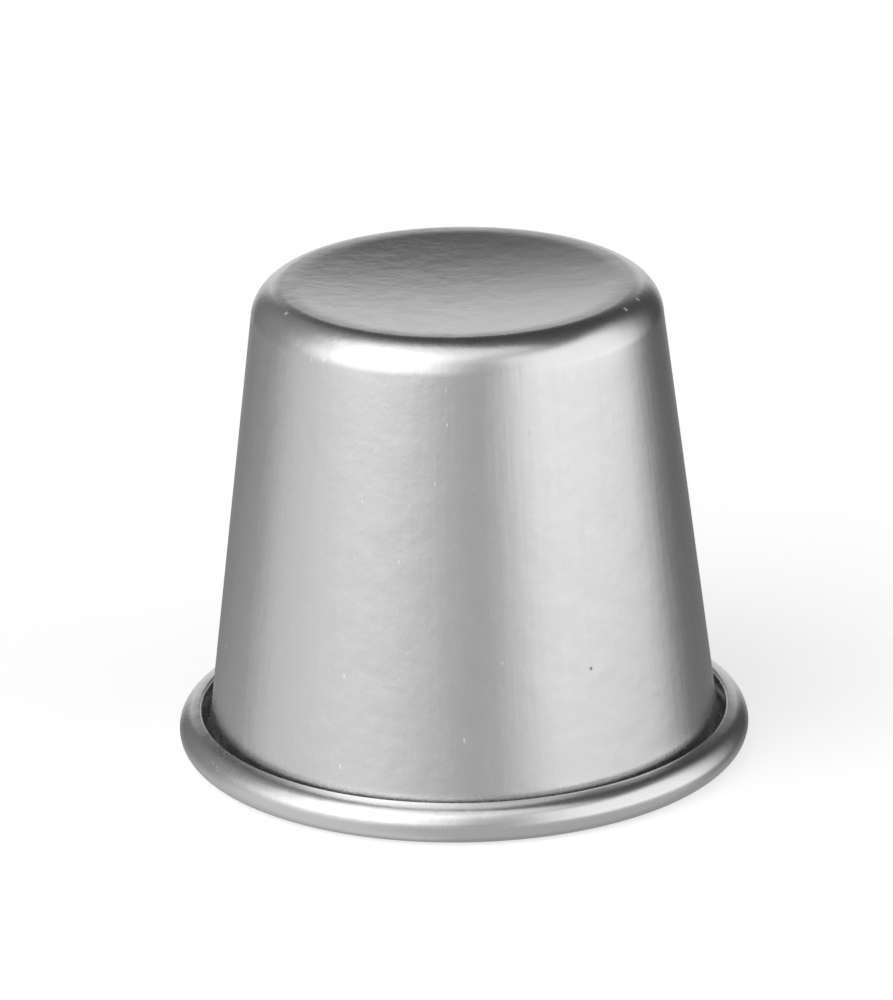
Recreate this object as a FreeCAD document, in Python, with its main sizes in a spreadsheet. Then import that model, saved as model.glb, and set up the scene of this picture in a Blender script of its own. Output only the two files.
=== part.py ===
"""Deep drawn aluminium mould cup, standing mouth down on its curled rim.

One blank of sheet is drawn over a tapered punch. Its base is pressed into a shallow dish that leaves
a narrow foot ring, and its mouth is rolled outwards into an open curl. The cup is one solid: a single
section of the sheet, turned about the cup's axis.

Frame: millimetres, +Z up along the axis, origin on the axis in the plane that the rim stands on.
"""
import FreeCAD
import Part

import math
import os

import Sketcher

NODE = "drawn_cup"

# ---------------------------------------------------------------- driving dimensions
# name of the cell, value, what it measures
DIMENSIONS = (
    ("rim_diameter", 71.0, "mm, outside the curled rim"),
    ("cup_height", 60.0, "mm, from the rim's underside to the foot ring"),
    ("mouth_diameter", 62.6, "mm, inside the wall, carried on down to the rim's underside"),
    ("draft_angle", 7.0, "degrees, between the wall and the axis"),
    ("wall_gauge", 0.8, "mm, thickness of the sheet in the wall and the curl"),
    ("base_gauge", 0.9, "mm, thickness in the base, which is stretched less"),
    ("die_radius", 4.6, "mm, outside radius between the wall and the nose"),
    ("nose_radius", 3.1, "mm, outside radius between that corner and the foot ring"),
    ("nose_start", 60.0, "degrees above level, the way the sheet faces where the nose starts"),
    ("punch_radius", 3.2, "mm, inside radius between the wall and the base"),
    ("foot_width", 0.5, "mm, flat ring that the cup stands on when it is mouth up"),
    ("dish_depth", 1.0, "mm, how far the base is pressed in at its centre"),
    ("shoulder_radius", 18.0, "mm, outside radius between the foot ring and the dish"),
    ("mouth_radius", 0.8, "mm, outside radius where the wall turns out into the rim"),
    ("curl_radius", 2.4, "mm, outside radius of the rim's rolled section"),
    ("lip_rise", 12.0, "degrees above level, the way the curl's last stretch points"),
    ("lip_length", 0.85, "mm, last stretch of the curl, which the rolling leaves straight"),
    ("edge_radius", 0.3, "mm, rounding of the free edge, within the lip's length"),
)


def make_sheet(doc):
    """The spreadsheet of driving dimensions, one to a row, each with its alias."""
    sheet = doc.addObject("Spreadsheet::Sheet", "dimensions")
    for row, (alias, value, meaning) in enumerate(DIMENSIONS, start=1):
        sheet.set(f"A{row}", alias)
        sheet.set(f"B{row}", str(value))
        sheet.set(f"C{row}", meaning)
        sheet.setAlias(f"B{row}", alias)
    doc.recompute()
    return sheet


# ---------------------------------------------------------------- a sketch, by name
START, END, CENTRE = 1, 2, 3  # a curve's points, as the Sketcher numbers them
LEVEL_AXIS, CUP_AXIS = -1, -2  # the sketch's own axes: x is radius, y is height


class Section:
    """A sketch whose curves are drawn, tied and sized by name."""

    def __init__(self, sketch):
        self.sketch = sketch
        self.number = {}

    def line(self, name, start, end):
        self.number[name] = self.sketch.addGeometry(Part.LineSegment(start, end), False)

    def arc(self, name, centre, radius, start_angle, end_angle):
        """An arc that runs anticlockwise between two angles in radians."""
        circle = Part.Circle(centre, FreeCAD.Vector(0, 0, 1), radius)
        arc = Part.ArcOfCircle(circle, start_angle, end_angle)
        self.number[name] = self.sketch.addGeometry(arc, False)

    def point(self, name, which):
        return self.sketch.getPoint(self.number[name], which)

    def tie(self, kind, *parts):
        """A constraint that has no value."""
        numbers = [self.number.get(part, part) for part in parts]
        self.sketch.addConstraint(Sketcher.Constraint(kind, *numbers))

    def size(self, title, kind, *parts, formula):
        """A dimension that follows the spreadsheet."""
        numbers = [self.number.get(part, part) for part in parts]
        value = self.sketch.evalExpression(formula)
        value = math.radians(value.Value) if kind == "Angle" else float(value)
        added = self.sketch.addConstraint(Sketcher.Constraint(kind, *numbers, value))
        self.sketch.renameConstraint(added, title)
        self.sketch.setExpression(f"Constraints.{title}", formula)


# ---------------------------------------------------------------- the section of the sheet
# Both skins of the sheet run through the same stretches, from the axis to the free edge. Only
# the outside has a nose: pressing the dish draws the corner's outer skin tighter, while the
# inner skin keeps the punch's one radius.
JOINS = (
    ("dish", END, "shoulder", END),
    ("shoulder", START, "foot", START),
    ("corner", START, "wall", END),
    ("wall", START, "mouth", START),
    ("mouth", END, "land", START),
    ("land", END, "curl", START),
    ("curl", END, "lip", START),
)
JOINS_AT_FOOT = {
    "outside": (("foot", END, "nose", END), ("nose", START, "corner", END)),
    "inside": (("foot", END, "corner", END),),
}
SQUARE = math.radians(90)


def toward(angle):
    """The unit vector that points at an angle in radians."""
    return FreeCAD.Vector(math.cos(angle), math.sin(angle), 0)


def beside_wall(sheet, height, distance):
    """The point at a height that lies a distance outside the wall's inside skin, square to it."""
    draft = math.radians(sheet.draft_angle)
    reach = sheet.mouth_diameter / 2 * math.cos(draft) + distance - height * math.sin(draft)
    return FreeCAD.Vector(reach / math.cos(draft), height, 0)


def draw_base(section, sheet):
    """Dish, shoulder, foot ring and corner of each skin."""
    draft = math.radians(sheet.draft_angle)
    nose_start = math.radians(sheet.nose_start)
    nose_reach = toward(nose_start) * (sheet.die_radius - sheet.nose_radius)
    corner_height = sheet.cup_height - sheet.nose_radius - nose_reach.y
    corner = beside_wall(sheet, corner_height, sheet.wall_gauge - sheet.die_radius)
    section.arc("outside_corner", corner, sheet.die_radius, draft, nose_start)
    section.arc("outside_nose", corner + nose_reach, sheet.nose_radius, nose_start, SQUARE)
    punch_height = sheet.cup_height - sheet.base_gauge - sheet.punch_radius
    punch = beside_wall(sheet, punch_height, -sheet.punch_radius)
    section.arc("inside_corner", punch, sheet.punch_radius, draft, SQUARE)

    # The dish is a shallow arc, centred above the cup, that touches the shoulder's circle.
    foot_outer = {
        "outside": section.point("outside_nose", END),
        "inside": section.point("inside_corner", END),
    }
    foot_inner = foot_outer["outside"].x - sheet.foot_width
    centres_apart = (foot_inner**2 + sheet.dish_depth**2) / (2 * sheet.dish_depth)
    turn = math.asin(foot_inner / centres_apart)
    shoulder = FreeCAD.Vector(foot_inner, sheet.cup_height - sheet.shoulder_radius, 0)
    dish = FreeCAD.Vector(0, shoulder.y + centres_apart - sheet.dish_depth, 0)
    for skin, depth in (("outside", 0), ("inside", sheet.base_gauge)):
        radius = sheet.shoulder_radius - depth
        section.arc(f"{skin}_shoulder", shoulder, radius, SQUARE, SQUARE + turn)
        section.arc(f"{skin}_dish", dish, centres_apart - radius, -SQUARE, turn - SQUARE)
        section.line(f"{skin}_foot", section.point(f"{skin}_shoulder", START), foot_outer[skin])


def draw_rim(section, sheet):
    """Mouth bend, land, curl and straight lip of each skin, and the wall above them."""
    draft = math.radians(sheet.draft_angle)
    lip_start = SQUARE - math.radians(sheet.lip_rise)
    mouth_height = sheet.mouth_radius + sheet.wall_gauge
    mouth = beside_wall(sheet, mouth_height, mouth_height)
    curl = FreeCAD.Vector(sheet.rim_diameter / 2 - sheet.curl_radius, sheet.curl_radius, 0)
    radii = {
        "outside": (sheet.mouth_radius, sheet.curl_radius - sheet.wall_gauge),
        "inside": (mouth_height, sheet.curl_radius),
    }
    for skin, (mouth_radius, curl_radius) in radii.items():
        section.arc(f"{skin}_mouth", mouth, mouth_radius, 2 * SQUARE + draft, 3 * SQUARE)
        section.arc(f"{skin}_curl", curl, curl_radius, -SQUARE, lip_start)
        wall_start = section.point(f"{skin}_mouth", START)
        section.line(f"{skin}_wall", wall_start, section.point(f"{skin}_corner", START))
        land_start = section.point(f"{skin}_mouth", END)
        section.line(f"{skin}_land", land_start, section.point(f"{skin}_curl", START))
        lip_root = section.point(f"{skin}_curl", END)
        lip_end = lip_root + toward(lip_start + SQUARE) * (sheet.lip_length - sheet.edge_radius)
        section.line(f"{skin}_lip", lip_root, lip_end)


def close_at_rim(section, sheet):
    """The free edge of the sheet, cut square to the lip, with a rounding on each side."""
    lip_start = SQUARE - math.radians(sheet.lip_rise)
    across = toward(lip_start) * sheet.edge_radius
    over = section.point("inside_lip", END) - across
    under = section.point("outside_lip", END) + across
    section.arc("round_over", over, sheet.edge_radius, lip_start, lip_start + SQUARE)
    section.arc("round_under", under, sheet.edge_radius, lip_start + SQUARE, lip_start + 2 * SQUARE)
    section.line("free_edge", section.point("round_over", END), section.point("round_under", START))
    section.tie("Tangent", "inside_lip", END, "round_over", START)
    section.tie("Tangent", "round_over", END, "free_edge", START)
    section.tie("Tangent", "free_edge", END, "round_under", START)
    section.tie("Tangent", "round_under", END, "outside_lip", END)
    section.tie("Perpendicular", "free_edge", "inside_lip")


def close_at_axis(section):
    """The middle of the base, where the section meets the cup's axis."""
    section.line("middle", section.point("inside_dish", START), section.point("outside_dish", START))
    section.tie("Coincident", "middle", START, "inside_dish", START)
    section.tie("Coincident", "middle", END, "outside_dish", START)
    section.tie("PointOnObject", "middle", START, CUP_AXIS)
    section.tie("Vertical", "middle")


def tie_skins(section):
    """The stretches run smoothly into each other, and the two skins keep side by side."""
    for skin, joins_at_foot in JOINS_AT_FOOT.items():
        for first, first_point, second, second_point in JOINS + joins_at_foot:
            section.tie("Tangent", f"{skin}_{first}", first_point, f"{skin}_{second}", second_point)
        section.tie("Horizontal", f"{skin}_foot")
        section.tie("Horizontal", f"{skin}_land")
    for arc in ("dish", "shoulder", "mouth", "curl"):
        section.tie("Coincident", f"outside_{arc}", CENTRE, f"inside_{arc}", CENTRE)
    for line in ("wall", "lip"):
        section.tie("Parallel", f"outside_{line}", f"inside_{line}")
    section.tie("PointOnObject", "outside_dish", CENTRE, CUP_AXIS)
    section.tie("PointOnObject", "inside_land", START, LEVEL_AXIS)


def size_section(section):
    """Every dimension of the section, bound to the spreadsheet."""
    reach = "dimensions.mouth_diameter / 2 * cos(dimensions.draft_angle * 1 deg)"
    curl_centre = "dimensions.rim_diameter / 2 - dimensions.curl_radius"
    dish_bottom = "dimensions.cup_height - dimensions.dish_depth"
    curl_inside = "dimensions.curl_radius - dimensions.wall_gauge"
    origin = (LEVEL_AXIS, START)
    sizes = (
        ("draft", "Angle", ("inside_wall",), "(90 + dimensions.draft_angle) * 1 deg"),
        ("wall_reach", "Distance", (*origin, "inside_wall"), reach),
        ("die", "Radius", ("outside_corner",), "dimensions.die_radius"),
        ("nose", "Radius", ("outside_nose",), "dimensions.nose_radius"),
        ("nose_span", "Angle", ("outside_nose",), "(90 - dimensions.nose_start) * 1 deg"),
        ("punch", "Radius", ("inside_corner",), "dimensions.punch_radius"),
        ("height", "DistanceY", (*origin, "outside_foot", START), "dimensions.cup_height"),
        ("foot", "DistanceX", ("outside_foot", START, "outside_foot", END), "dimensions.foot_width"),
        ("dish_bottom", "DistanceY", (*origin, "outside_dish", START), dish_bottom),
        ("base", "DistanceY", ("middle", START, "middle", END), "dimensions.base_gauge"),
        ("shoulder", "Radius", ("outside_shoulder",), "dimensions.shoulder_radius"),
        ("mouth", "Radius", ("outside_mouth",), "dimensions.mouth_radius"),
        ("curl_centre", "DistanceX", (*origin, "inside_curl", CENTRE), curl_centre),
        ("curl_outside", "Radius", ("inside_curl",), "dimensions.curl_radius"),
        ("curl_inside", "Radius", ("outside_curl",), curl_inside),
        ("lip_way", "Angle", ("inside_lip",), "(180 - dimensions.lip_rise) * 1 deg"),
        ("lip", "Distance", ("inside_lip",), "dimensions.lip_length - dimensions.edge_radius"),
        ("edge_over", "Radius", ("round_over",), "dimensions.edge_radius"),
        ("edge_under", "Radius", ("round_under",), "dimensions.edge_radius"),
    )
    for title, kind, parts, formula in sizes:
        section.size(title, kind, *parts, formula=formula)


# ---------------------------------------------------------------- the cup
def make_section(body, sheet):
    """The closed half section, on the body's own XZ plane."""
    sketch = body.newObject("Sketcher::SketchObject", "sheet_section")
    plane = next(part for part in body.Origin.OriginFeatures if part.Role == "XZ_Plane")
    sketch.AttachmentSupport = (plane, [""])
    sketch.MapMode = "FlatFace"
    body.Document.recompute()
    section = Section(sketch)
    draw_base(section, sheet)
    draw_rim(section, sheet)
    tie_skins(section)
    close_at_rim(section, sheet)
    close_at_axis(section)
    size_section(section)
    body.Document.recompute()
    return section


def make_cup(doc, sheet):
    """The section turned once about the cup's axis."""
    body = doc.addObject("PartDesign::Body", NODE)
    body.Label = NODE
    section = make_section(body, sheet)
    turned = body.newObject("PartDesign::Revolution", "turned_sheet")
    turned.Profile = section.sketch
    turned.ReferenceAxis = (section.sketch, ["V_Axis"])
    turned.Angle = 360
    body.Placement = FreeCAD.Placement()
    doc.recompute()
    return body, section


def check(doc, body, section):
    """Stops before anything is written if the model isn't whole."""
    failed = [part.Name for part in doc.Objects if {"Invalid", "Error"} & set(part.State)]
    if failed:
        raise RuntimeError(f"failed to recompute: {failed}")
    if not section.sketch.FullyConstrained:
        raise RuntimeError("the section is not fully constrained")
    shape = body.Shape
    if shape.isNull() or not shape.isValid() or len(shape.Solids) != 1:
        raise RuntimeError(f"{body.Label} is not one valid solid")


def main():
    doc = FreeCAD.newDocument("drawn_cup_model")
    sheet = make_sheet(doc)
    body, section = make_cup(doc, sheet)
    check(doc, body, section)
    os.makedirs("parts", exist_ok=True)
    body.Shape.exportStep(f"parts/{body.Label}.step")
    box = body.Shape.optimalBoundingBox()
    print(f"{body.Label}: {box.XLength:.2f} x {box.YLength:.2f} x {box.ZLength:.2f} mm")
    print(f"sheet metal: {body.Shape.Volume:.0f} mm3")


main()
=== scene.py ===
# %% [markdown]
# A deep drawn aluminium cup, mouth down
#
# The object is a small baking mould, drawn in one go from a flat disc of
# aluminium sheet. It has a tapered wall, a shallow dished base with a round
# corner, and a rim that is curled outwards into an open bead. It stands on that
# bead, upside down. The frame already holds its exact form. This lesson spins a
# smoother copy of the same section, gives it a satin metal finish with the marks
# that the press leaves, and lights it as a small studio would.

# %% Load the frame and note its size
import math
import bpy
from mathutils import Matrix, Vector


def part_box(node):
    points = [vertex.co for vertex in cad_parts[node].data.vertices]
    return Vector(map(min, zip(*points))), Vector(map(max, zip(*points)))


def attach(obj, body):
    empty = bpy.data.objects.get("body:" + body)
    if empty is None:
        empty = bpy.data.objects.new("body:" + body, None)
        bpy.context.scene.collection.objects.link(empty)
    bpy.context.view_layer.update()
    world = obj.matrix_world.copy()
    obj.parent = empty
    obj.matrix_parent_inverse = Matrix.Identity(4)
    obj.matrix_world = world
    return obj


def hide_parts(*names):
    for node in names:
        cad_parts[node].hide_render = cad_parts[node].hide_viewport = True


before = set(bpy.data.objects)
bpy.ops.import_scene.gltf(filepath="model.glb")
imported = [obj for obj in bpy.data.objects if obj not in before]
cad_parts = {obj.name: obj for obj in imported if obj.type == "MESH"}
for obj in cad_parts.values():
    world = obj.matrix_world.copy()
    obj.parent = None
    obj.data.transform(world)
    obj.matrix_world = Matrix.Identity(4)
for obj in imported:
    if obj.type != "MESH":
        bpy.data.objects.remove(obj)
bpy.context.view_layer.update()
node_low, node_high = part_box("drawn_cup")

# %% [markdown]
# The sizes that drive the section
#
# A drawn part is described by half of its section: radii from the axis and
# heights above the table. The two outer sizes are read from the frame. The rest
# are the sheet's gauge and the radii of the press tools, from which every centre
# and tangent point follows. Working the points out, and not listing them, keeps
# the copy true to the frame.

# %% Sizes of the cup, in metres and radians
MM = 0.001
rim_radius = (node_high.x - node_low.x) / 2
cup_height = node_high.z - node_low.z
wall_gauge = 0.8 * MM
base_gauge = 0.9 * MM
mouth_inside = 31.3 * MM
die_radius = 4.6 * MM
nose_radius = 3.1 * MM
nose_start = math.radians(60.0)
punch_radius = 3.2 * MM
foot_width = 0.5 * MM
dish_depth = 1.0 * MM
shoulder_radius = 18.0 * MM
mouth_radius = 0.8 * MM
curl_radius = 2.4 * MM
edge_radius = 0.3 * MM
lip_straight = 0.55 * MM
draft = math.radians(7.0)
lip_rise = math.radians(12.0)
QUARTER = math.pi / 2
print("rim radius and height in mm:", round(rim_radius / MM, 2), round(cup_height / MM, 2))

# %% Centres of the section's arcs, as (radius, height)
def beside_wall(height, outwards):
    """The radius of a point at a height, so far outside the wall's inner skin."""
    reach = mouth_inside * math.cos(draft) + outwards - height * math.sin(draft)
    return reach / math.cos(draft)


def along(point, angle, distance):
    """The point at a distance from another, at an angle in the section."""
    return (
        point[0] + distance * math.cos(angle),
        point[1] + distance * math.sin(angle),
    )


nose_height = cup_height - nose_radius
nose_reach = die_radius - nose_radius
die_height = nose_height - nose_reach * math.sin(nose_start)
die_centre = (beside_wall(die_height, wall_gauge - die_radius), die_height)
nose_centre = along(die_centre, nose_start, nose_reach)
punch_height = cup_height - base_gauge - punch_radius
punch_centre = (beside_wall(punch_height, -punch_radius), punch_height)
shoulder_centre = (nose_centre[0] - foot_width, cup_height - shoulder_radius)
mouth_height = wall_gauge + mouth_radius
mouth_centre = (beside_wall(mouth_height, mouth_height), mouth_height)
curl_centre = (rim_radius - curl_radius, curl_radius)

# The dish is one large arc that runs into the shoulder, as two circles that touch.
foot_inner = shoulder_centre[0]
dish_radius = foot_inner**2 + (shoulder_radius - dish_depth) ** 2 - shoulder_radius**2
dish_radius = dish_radius / (2 * dish_depth)
dish_centre = (0.0, cup_height - dish_depth + dish_radius)
dish_turn = math.asin(foot_inner / (dish_radius + shoulder_radius))
print("dish radius in mm:", round(dish_radius / MM, 1))

# %% [markdown]
# Drawing the section with one point
#
# Extruding a single point draws a straight line, and spinning it about a centre
# draws an arc. So the section is walked round like a pen on paper: over the base,
# down the wall, round the curl and its lip, and back along the inside. Each step
# starts where the last one ended. Its last number says in how many pieces it is
# drawn, with more where a curve is tight or shows. The print at the end says how
# well the walk closes on the axis.

# %% A pen that walks round the section
def pen_down(name, radius, height):
    """A new mesh in edit mode that holds one selected point of the section."""
    bpy.ops.object.select_all(action="DESELECT")
    bpy.ops.mesh.primitive_plane_add(size=MM, location=(0, 0, 0))
    bpy.context.object.name = name
    bpy.ops.object.mode_set(mode="EDIT")
    bpy.ops.mesh.select_all(action="SELECT")
    bpy.ops.mesh.merge(type="CENTER")
    bpy.ops.transform.translate(value=(radius, 0, height))
    return bpy.context.object


def draw_line(length, angle, pieces=1):
    """Extrude the point along an angle that is measured from the radius upwards."""
    step = length / pieces
    move = (step * math.cos(angle), 0, step * math.sin(angle))
    for _ in range(pieces):
        bpy.ops.mesh.extrude_region_move(TRANSFORM_OT_translate={"value": move})


def draw_arc(centre, turn, pieces):
    """Spin the point about a centre. A positive turn is anticlockwise."""
    bpy.ops.mesh.spin(
        steps=pieces,
        angle=turn,
        center=(centre[0], 0, centre[1]),
        axis=(0, 1, 0),
    )


def wall_length(low_centre, high_centre):
    """The wall runs straight between two arcs whose centres lie beside it."""
    sideways = (low_centre[0] - high_centre[0]) * math.sin(draft)
    return sideways + (high_centre[1] - low_centre[1]) * math.cos(draft)


# %% The points where the lip's rounded edge turns
lip_square = QUARTER - lip_rise
lip_inward = math.pi - lip_rise
lip_start = along(curl_centre, lip_square, curl_radius - wall_gauge)
lip_end = along(lip_start, lip_inward, lip_straight)
under_centre = along(lip_end, lip_square, edge_radius)
edge_flat = wall_gauge - 2 * edge_radius
over_centre = along(under_centre, lip_square, edge_flat)
land = curl_centre[0] - mouth_centre[0]
print("free edge stands, in mm:", round((over_centre[1] + edge_radius) / MM, 2))

# %% Walk round the section
cup = pen_down("satin_cup", 0, cup_height - dish_depth)
draw_arc(dish_centre, dish_turn, 16)
draw_arc(shoulder_centre, -dish_turn, 8)
draw_line(foot_width, 0, 2)
draw_arc(nose_centre, nose_start - QUARTER, 10)
draw_arc(die_centre, draft - nose_start, 14)
draw_line(wall_length(mouth_centre, die_centre), draft - QUARTER, 24)
draw_arc(mouth_centre, QUARTER - draft, 8)
draw_line(land, 0)
draw_arc(curl_centre, QUARTER + lip_square, 20)
draw_line(lip_straight, lip_inward, 2)
draw_arc(under_centre, -QUARTER, 4)
draw_line(edge_flat, lip_square)
draw_arc(over_centre, -QUARTER, 4)
draw_line(lip_straight, -lip_rise, 2)
draw_arc(curl_centre, -QUARTER - lip_square, 32)
draw_line(land, math.pi)
draw_arc(mouth_centre, draft - QUARTER, 10)
draw_line(wall_length(mouth_centre, punch_centre), QUARTER + draft, 16)
draw_arc(punch_centre, QUARTER - draft, 14)
draw_line(punch_centre[0] - foot_inner, math.pi)
draw_arc(shoulder_centre, dish_turn, 3)
draw_arc(dish_centre, -dish_turn, 12)
bpy.ops.object.mode_set(mode="OBJECT")
last = cup.data.vertices[len(cup.data.vertices) - 1].co
print("points in the section:", len(cup.data.vertices))
print("the walk ends at, in mm:", [round(v / MM, 4) for v in last])

# %% [markdown]
# Turning the section once round the axis
#
# One spin through a full turn makes the cup, as a lathe would. The turn starts
# and ends in the same place, and the points on the axis are repeated at every
# step, so the doubles are merged before the normals are made to point outwards.

# %% Spin the section into the cup
SPIN_STEPS = 288
MERGE = 0.001 * MM


def spin_full(thing, steps):
    """Turn the open section round the upright axis and close it."""
    bpy.ops.object.mode_set(mode="EDIT")
    bpy.ops.mesh.select_all(action="SELECT")
    bpy.ops.mesh.spin(
        steps=steps, angle=2 * math.pi, center=(0, 0, 0), axis=(0, 0, 1)
    )
    bpy.ops.mesh.select_all(action="SELECT")
    bpy.ops.mesh.remove_doubles(threshold=MERGE)
    bpy.ops.mesh.normals_make_consistent(inside=False)
    bpy.ops.object.mode_set(mode="OBJECT")
    bpy.ops.object.shade_smooth()


spin_full(cup, SPIN_STEPS)
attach(cup, "root")
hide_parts("drawn_cup")
print("faces of the cup:", len(cup.data.polygons))

# %% [markdown]
# Small helpers for nodes
#
# The finish and the studio are both built from nodes. Three helpers keep them
# short: one feeds a socket with a number or with another node's output, one adds
# a node, and one does a sum. A fourth eases a value from 0 to 1 over a range,
# which is how every mark below fades in and out without a hard edge.

# %% Add nodes, wire them and do sums with them
def feed(tree, socket, value):
    """Give a socket a number or a colour, or wire an output to it."""
    if isinstance(value, bpy.types.NodeSocket):
        tree.links.new(value, socket)
    else:
        socket.default_value = value


def add_node(tree, kind, choices, values):
    """Add a node, set its choices, and feed its sockets by name or by place."""
    node = tree.nodes.new("ShaderNode" + kind)
    for choice, setting in choices.items():
        setattr(node, choice, setting)
    for socket, value in values.items():
        feed(tree, node.inputs[socket], value)
    return node


def reckon(tree, operation, *values):
    """The result of a Math node."""
    choices = {"operation": operation}
    return add_node(tree, "Math", choices, dict(enumerate(values))).outputs[0]


def ease(tree, value, start, end):
    """Rise smoothly from 0 at the start to 1 at the end, in either direction."""
    node = add_node(
        tree,
        "MapRange",
        {"interpolation_type": "SMOOTHSTEP"},
        {"Value": value, "From Min": start, "From Max": end},
    )
    return node.outputs["Result"]


def vector(tree, x, y, z):
    """Put three values together as one vector."""
    return add_node(tree, "CombineXYZ", {}, {0: x, 1: y, 2: z}).outputs[0]


# %% [markdown]
# The finish of drawn aluminium
#
# The sheet leaves the press satin, not polished: it mirrors a soft box as a broad
# glow. So the base is a plain metal of medium roughness. What makes it read as a
# real cup is the record of how it was made. The punch drags fine lines up the
# wall, the sheet brings its straight rolling grain to the base, and the rollers
# that close the curl leave lines round it. All of these are shallower than a
# hundredth of a millimetre, so they are bump and not geometry.

# %% Start the metal and measure places on the cup
metal = bpy.data.materials.new("satin_drawn_aluminium")
metal.use_nodes = True
finish = metal.node_tree
shader = finish.nodes["Principled BSDF"]
shader.inputs["Metallic"].default_value = 1.0
place = add_node(finish, "TexCoord", {}, {}).outputs["Object"]
across, deep, height = add_node(finish, "SeparateXYZ", {}, {0: place}).outputs
flat_place = vector(finish, across, deep, 0.0)
radius = add_node(finish, "VectorMath", {"operation": "LENGTH"}, {0: flat_place}).outputs["Value"]
NEAR_AXIS = 0.1 * MM
WALL_MIDDLE = 28.0 * MM
radius = reckon(finish, "MAXIMUM", radius, NEAR_AXIS)
turn_scale = reckon(finish, "DIVIDE", WALL_MIDDLE, radius)
around_x = reckon(finish, "MULTIPLY", across, turn_scale)
around_y = reckon(finish, "MULTIPLY", deep, turn_scale)
print("nodes in the finish so far:", len(finish.nodes))

# %% [markdown]
# Where each kind of line belongs
#
# A share is a value between 0 and 1 that says how much of a mark a place gets.
# The wall's share ends in the corner of the base, the base's share takes over
# there, and the curl has its own. They are worked out from height and radius, so
# they follow the form with no painted mask.

# %% Shares of wall, base and curl
CORNER_REST = 0.8 * MM
RIM_FADE = 0.5 * MM
wall_end = die_centre[1]
rim_start = mouth_centre[0]
base_share = ease(finish, height, wall_end, cup_height - CORNER_REST)
curl_share = ease(finish, radius, rim_start, rim_start + RIM_FADE)
off_base = reckon(finish, "SUBTRACT", 1.0, base_share)
off_curl = reckon(finish, "SUBTRACT", 1.0, curl_share)
wall_share = reckon(finish, "MULTIPLY", off_base, off_curl)


def noise(at, feature, detail, roughness=0.55):
    """Noise whose features are about so many metres wide, around 0."""
    values = {"Vector": at, "Scale": 1.0 / feature, "Detail": detail, "Roughness": roughness}
    value = add_node(finish, "TexNoise", {}, values).outputs[0]
    return reckon(finish, "SUBTRACT", value, 0.5)


# %% [markdown]
# Lines left by the tools
#
# Each line pattern is the same noise, pulled long in one direction by shrinking
# that coordinate. Up the wall the height is shrunk. On the base one level
# direction is shrunk, a little askew, as the disc lies in the press by chance.
# Round the curl the two level directions are shrunk and radius and height are
# kept, so its lines run round the cup.

# %% Draw lines, rolling grain and roller lines
LINE_WIDTH = 1.1 * MM
GRAIN_WIDTH = 0.9 * MM
ROLLER_WIDTH = 0.7 * MM
DRAW_PULL = 0.07
GRAIN_PULL = 0.14
ROLLER_PULL = 0.05
GRAIN_ANGLE = math.radians(8.0)
draw_place = vector(finish, around_x, around_y, reckon(finish, "MULTIPLY", height, DRAW_PULL))
draw_lines = noise(draw_place, LINE_WIDTH, 2.0)
askew = add_node(
    finish,
    "Mapping",
    {},
    {"Vector": place, "Rotation": (0, 0, GRAIN_ANGLE), "Scale": (GRAIN_PULL, 1.0, 1.0)},
).outputs[0]
grain = noise(askew, GRAIN_WIDTH, 2.0)
roller_place = vector(
    finish,
    radius,
    reckon(finish, "MULTIPLY", around_x, ROLLER_PULL),
    reckon(finish, "ADD", height, reckon(finish, "MULTIPLY", around_y, ROLLER_PULL)),
)
roller_lines = noise(roller_place, ROLLER_WIDTH, 2.0)
print("line patterns: draw lines, rolling grain, roller lines")

# %% [markdown]
# Handling marks
#
# Cups are stacked and tumbled, which leaves soft blotches and short bright nicks.
# The nicks are cells of a stretched Voronoi pattern: only the cells whose random
# colour is high hold one, and only near their centre. Like the blotches, they
# gather on the side that rubbed against its neighbours and fade off the other.

# %% Blotches and nicks
RUB_STARTS = 14.0 * MM
RUB_FULL = -4.0 * MM
LEAST_RUBBED = 0.25
BLOTCH_WIDTH = 2.6 * MM
BROAD_WIDTH = 5.0 * MM
rubbed_side = ease(finish, across, RUB_STARTS, RUB_FULL)
rubbed_more = reckon(finish, "MULTIPLY", rubbed_side, 1.0 - LEAST_RUBBED)
rubbed = reckon(finish, "ADD", LEAST_RUBBED, rubbed_more)
blotches = noise(place, BLOTCH_WIDTH, 3.0, 0.6)
broad_blotches = noise(place, BROAD_WIDTH, 2.0)


def nicks(at, spacing, size, least):
    """Small marks, one in the middle of each cell whose random colour is above a value."""
    values = {"Vector": at, "Scale": 1.0 / spacing}
    cells = add_node(finish, "TexVoronoi", {}, values)
    near = ease(finish, cells.outputs["Distance"], size / spacing, 0.4 * size / spacing)
    chance = add_node(finish, "SeparateColor", {}, {0: cells.outputs["Color"]}).outputs[0]
    chosen = ease(finish, chance, least, least + 0.08)
    return reckon(finish, "MULTIPLY", near, chosen)


NICK_PULL = 0.4
nick_place = vector(finish, around_x, around_y, reckon(finish, "MULTIPLY", height, NICK_PULL))
wall_nicks = reckon(finish, "MULTIPLY", nicks(nick_place, 1.5 * MM, 0.16 * MM, 0.86), rubbed)
fine_nicks = reckon(finish, "MULTIPLY", nicks(nick_place, 0.8 * MM, 0.1 * MM, 0.8), rubbed)
print("nodes in the finish so far:", len(finish.nodes))

# %% [markdown]
# Marks in one place
#
# A few marks sit in one place: a rubbed patch on the curl, a few short scratches
# on the corner of the base, and one brown speck of baked-on dirt. Each is the
# same thing, a ball of space round a point, inside which a mark is let through.

# %% A ball of space round a point on the cup
def ball(azimuth, point, outer, inner):
    """1 within the inner distance of a section's point turned to an azimuth, 0 past the outer."""
    turned = math.radians(azimuth)
    at = (point[0] * math.sin(turned), -point[0] * math.cos(turned), point[1])
    choices = {"operation": "DISTANCE"}
    away = add_node(finish, "VectorMath", choices, {0: place, 1: at}).outputs["Value"]
    return ease(finish, away, outer, inner)


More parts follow.
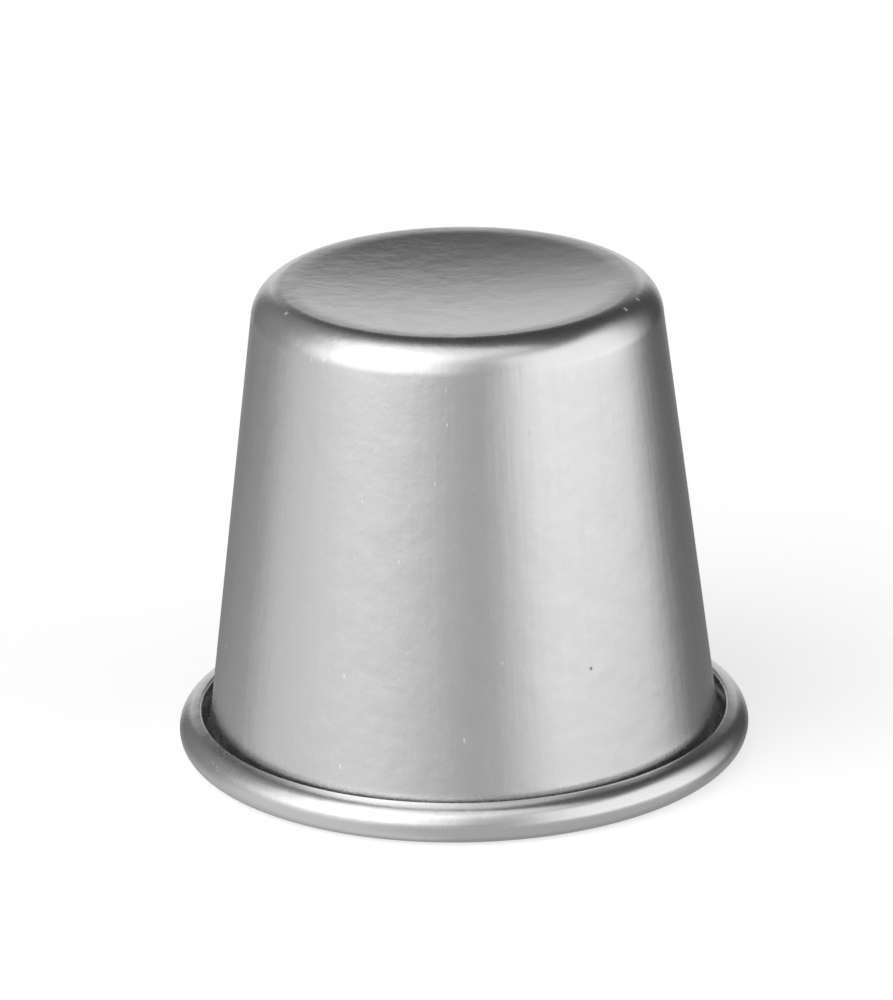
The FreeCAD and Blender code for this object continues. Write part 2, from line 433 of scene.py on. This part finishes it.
RUBBED_AZIMUTH = -60
curl_top = along(curl_centre, QUARTER, curl_radius)
rubbed_curl = ball(RUBBED_AZIMUTH, curl_top, 6.0 * MM, 1.5 * MM)
curl_nicks = reckon(finish, "MULTIPLY", nicks(place, 0.7 * MM, 0.15 * MM, 0.45), rubbed_curl)
SPECK_AZIMUTH = 31
speck_height = cup_height / 3 - MM
speck_point = (beside_wall(speck_height, wall_gauge), speck_height)
speck = ball(SPECK_AZIMUTH, speck_point, 0.28 * MM, 0.12 * MM)
print("brown speck at radius and height, in mm:", [round(v / MM, 1) for v in speck_point])

# %% Short scratches on the corner of the base
SCRATCH_AZIMUTHS = (62, 72, -64)
LOW_SCRATCH_AZIMUTH = -40
SCRATCH_OUTER = 0.45 * MM
SCRATCH_INNER = 0.15 * MM
low_scratch_point = along(die_centre, 2 * draft, die_radius)
scratch_point = along(nose_centre, nose_start, nose_radius)
corner_scratches = ball(LOW_SCRATCH_AZIMUTH, low_scratch_point, SCRATCH_OUTER, SCRATCH_INNER)
for azimuth in SCRATCH_AZIMUTHS:
    scratch = ball(azimuth, scratch_point, SCRATCH_OUTER, SCRATCH_INNER)
    corner_scratches = reckon(finish, "MAXIMUM", corner_scratches, scratch)
print("scratches on the corner:", 1 + len(SCRATCH_AZIMUTHS))

# %% [markdown]
# Putting the marks together
#
# Bump turns the lines and blotches into small tilts of the surface, which show
# only where the studio changes from light to dark, as on real satin metal.
# Nicks are bare, rougher spots, so they scatter light from all round and look
# bright against the dark parts. The speck is the one thing that is not bare
# metal, so it is brown and dull.

# %% Bump, roughness and colour of the metal
def weighted(*terms):
    """The sum of values, each times its weight."""
    total = 0.0
    for value, weight in terms:
        term = reckon(finish, "MULTIPLY", value, weight)
        total = reckon(finish, "ADD", total, term)
    return total


base_grain = reckon(finish, "MULTIPLY", grain, base_share)
wall_lines = reckon(finish, "MULTIPLY", draw_lines, wall_share)
curl_lines = reckon(finish, "MULTIPLY", roller_lines, curl_share)
rubbed_blotches = reckon(finish, "MULTIPLY", blotches, rubbed)
all_nicks = reckon(finish, "MAXIMUM", wall_nicks, curl_nicks)
all_nicks = reckon(finish, "MAXIMUM", all_nicks, corner_scratches)
relief = weighted(
    (wall_lines, 0.55),
    (base_grain, 0.2),
    (curl_lines, 0.5),
    (rubbed_blotches, 1.3),
    (broad_blotches, 1.2),
    (all_nicks, 0.3),
)
MARK_DEPTH = 0.03 * MM
SATIN = 0.27
values = {"Strength": 1.0, "Distance": MARK_DEPTH, "Height": relief}
bump = add_node(finish, "Bump", {}, values)
feed(finish, shader.inputs["Normal"], bump.outputs[0])
roughness = weighted(
    (wall_lines, 0.06),
    (base_grain, 0.03),
    (rubbed_blotches, 0.10),
    (all_nicks, 0.28),
    (fine_nicks, 0.12),
)
feed(finish, shader.inputs["Roughness"], reckon(finish, "ADD", roughness, SATIN))
print("nodes in the finish:", len(finish.nodes))

# %% Colour: bare metal, brighter nicks and one brown speck
BARE = (0.8, 0.8, 0.805, 1.0)
NICKED = (0.95, 0.95, 0.95, 1.0)
BAKED_ON = (0.35, 0.27, 0.18, 1.0)


def tint(factor, under, over):
    """One colour laid over another by a factor."""
    values = {0: factor, 6: under, 7: over}
    return add_node(finish, "Mix", {"data_type": "RGBA"}, values).outputs[2]


bright = reckon(finish, "MAXIMUM", all_nicks, reckon(finish, "MULTIPLY", fine_nicks, 0.6))
colour = tint(bright, BARE, NICKED)
feed(finish, shader.inputs["Base Color"], tint(speck, colour, BAKED_ON))
cup.data.materials.clear()
cup.data.materials.append(metal)
print("finish on the cup:", cup.data.materials[0].name)

# %% [markdown]
# The table
#
# A plain pale floor, big enough to fill the view from any side. It keeps the
# cup's soft shadow. What the camera sees of it is lifted to near white by a
# little light of its own, which the metal does not see. From below it is clear,
# so that the inside of the cup can be looked at.

# %% Floor
FLOOR_TONE = (0.8, 0.8, 0.8, 1.0)
FLOOR_LIFT = 0.5
FLOOR_WIDTH = 6.0
bpy.ops.object.select_all(action="DESELECT")
bpy.ops.mesh.primitive_plane_add(size=FLOOR_WIDTH, location=(0, 0, 0))
floor = bpy.context.object
floor.name = "studio_floor"
floor.visible_glossy = False
floor_paint = bpy.data.materials.new("pale_floor")
floor_paint.use_nodes = True
paint = floor_paint.node_tree
paint.nodes.clear()
sees = add_node(paint, "LightPath", {}, {}).outputs["Is Camera Ray"]
lift = reckon(paint, "MULTIPLY", sees, FLOOR_LIFT)
matt = add_node(paint, "BsdfDiffuse", {}, {"Color": FLOOR_TONE}).outputs[0]
glow = add_node(paint, "Emission", {}, {"Strength": lift}).outputs[0]
topside = add_node(paint, "AddShader", {}, {0: matt, 1: glow}).outputs[0]
clear = add_node(paint, "BsdfTransparent", {}, {}).outputs[0]
behind = add_node(paint, "NewGeometry", {}, {}).outputs["Backfacing"]
sides = add_node(paint, "MixShader", {}, {0: behind, 1: topside, 2: clear}).outputs[0]
add_node(paint, "OutputMaterial", {}, {"Surface": sides})
floor.data.materials.append(floor_paint)
print("floor is", floor.dimensions.x, "m wide")

# %% [markdown]
# A studio made of soft boxes
#
# Bare metal shows what stands round it, so the studio is drawn as soft boxes in
# the world: a big key box at the left, a fill at the right, a bright table below
# them and a white backdrop behind. Between them it stays dim, and those gaps
# give the dark bands down the wall and in the corner. A soft box is a window in
# azimuth and elevation with a soft border. The boxes are few and set in round
# values, as stands would be moved in a real studio. Each has its azimuth from the
# front, half its width and the width of its side border, then its low and high
# edge with their border, and its strength. The camera sees plain white instead.

# %% The direction of a ray as azimuth and elevation
scene = bpy.context.scene
scene.view_settings.view_transform = "Standard"
studio = bpy.data.worlds.new("studio")
scene.world = studio
studio.use_nodes = True
sky = studio.node_tree
sky.nodes.clear()
looks = add_node(sky, "TexCoord", {}, {}).outputs["Generated"]
to_right, to_back, to_top = add_node(sky, "SeparateXYZ", {}, {0: looks}).outputs
level_look = vector(sky, to_right, to_back, 0.0)
level_part = add_node(sky, "VectorMath", {"operation": "LENGTH"}, {0: level_look})
STRAIGHT_UP = 0.0001
level_part = reckon(sky, "MAXIMUM", level_part.outputs["Value"], STRAIGHT_UP)
elevation = reckon(sky, "ARCTAN2", to_top, level_part)
print("view transform:", scene.view_settings.view_transform)


# %% A soft box
def azimuth_from(azimuth):
    """The angle between a ray's compass direction and an azimuth from the front."""
    turned = math.radians(azimuth)
    sideways = reckon(sky, "MULTIPLY", to_right, math.sin(turned))
    frontal = reckon(sky, "MULTIPLY", to_back, -math.cos(turned))
    share = reckon(sky, "DIVIDE", reckon(sky, "ADD", sideways, frontal), level_part)
    share = reckon(sky, "MINIMUM", reckon(sky, "MAXIMUM", share, -1.0), 1.0)
    return reckon(sky, "ARCCOSINE", share)


def soft_edge(value, edge, border):
    """Rise from 0 to 1 across an edge, over a border in radians."""
    return ease(sky, value, edge - border / 2, edge + border / 2)


def soft_box(azimuth, half_width, side_border, low, high, border, strength):
    """Light from a window in azimuth and elevation, both in degrees."""
    away = azimuth_from(azimuth)
    beyond = soft_edge(away, math.radians(half_width), math.radians(side_border))
    within = reckon(sky, "SUBTRACT", 1.0, beyond)
    over_low = soft_edge(elevation, math.radians(low), math.radians(border))
    over_high = soft_edge(elevation, math.radians(high), math.radians(border))
    band = reckon(sky, "SUBTRACT", over_low, over_high)
    return reckon(sky, "MULTIPLY", reckon(sky, "MULTIPLY", within, band), strength)


# %% Set up the soft boxes
ROOM = 0.05
SOFT_BOXES = {
    "key box": (-45, 40, 70, 0, 60, 30, 1.5),
    "fill box": (70, 45, 40, -10, 45, 10, 1.0),
    "overhead box": (-20, 90, 30, 50, 90, 30, 0.8),
    "side wall": (-90, 60, 60, -90, 90, 20, 0.2),
    "table in front": (0, 110, 30, -90, -5, 20, 0.4),
    "table behind": (180, 70, 40, -90, -20, 30, 0.3),
    "backdrop": (180, 20, 10, -15, 20, 10, 0.7),
}
light = ROOM
for box in SOFT_BOXES.values():
    light = reckon(sky, "ADD", light, soft_box(*box))
WHITE = (1, 1, 1, 1)
values = {"Color": WHITE, "Strength": light}
studio_light = add_node(sky, "Background", {}, values).outputs[0]
plain_white = add_node(sky, "Background", {}, {"Color": WHITE}).outputs[0]
camera_sees = add_node(sky, "LightPath", {}, {}).outputs["Is Camera Ray"]
values = {0: camera_sees, 1: studio_light, 2: plain_white}
seen = add_node(sky, "MixShader", {}, values).outputs[0]
add_node(sky, "OutputWorld", {}, {"Surface": seen})
print("soft boxes:", ", ".join(SOFT_BOXES))

# %% [markdown]
# The camera
#
# A long lens from a step away keeps the tapered wall calm, as a catalogue view
# does. The camera looks down a little, so that the dished base shows, and is
# rolled by one degree. It is placed from the middle of the cup backwards along
# its own line of sight.

# %% Camera
LOOK_DOWN = math.radians(20.03)
ROLL = math.radians(-1.01)
DISTANCE = 0.801
SHIFT_RIGHT = -1.732 * MM
SHIFT_UP = 1.487 * MM
SENSOR_WIDTH = 36.0
LENS = 233.5
ahead = Vector((0, math.cos(LOOK_DOWN), -math.sin(LOOK_DOWN)))
level = Vector((1, 0, 0))
upright = Vector((0, math.sin(LOOK_DOWN), math.cos(LOOK_DOWN)))
right = math.cos(ROLL) * level + math.sin(ROLL) * upright
up = -math.sin(ROLL) * level + math.cos(ROLL) * upright
camera_data = bpy.data.cameras.new("camera")
camera = bpy.data.objects.new("camera", camera_data)
scene.collection.objects.link(camera)
camera_data.sensor_width = SENSOR_WIDTH
camera_data.lens = LENS
middle = Vector((0, 0, cup_height / 2))
stand = middle + SHIFT_RIGHT * right + SHIFT_UP * up - DISTANCE * ahead
camera.matrix_world = Matrix.Translation(stand) @ Matrix((right, up, -ahead)).transposed().to_4x4()
scene.camera = camera
print("camera at, in m:", [round(v, 3) for v in stand])
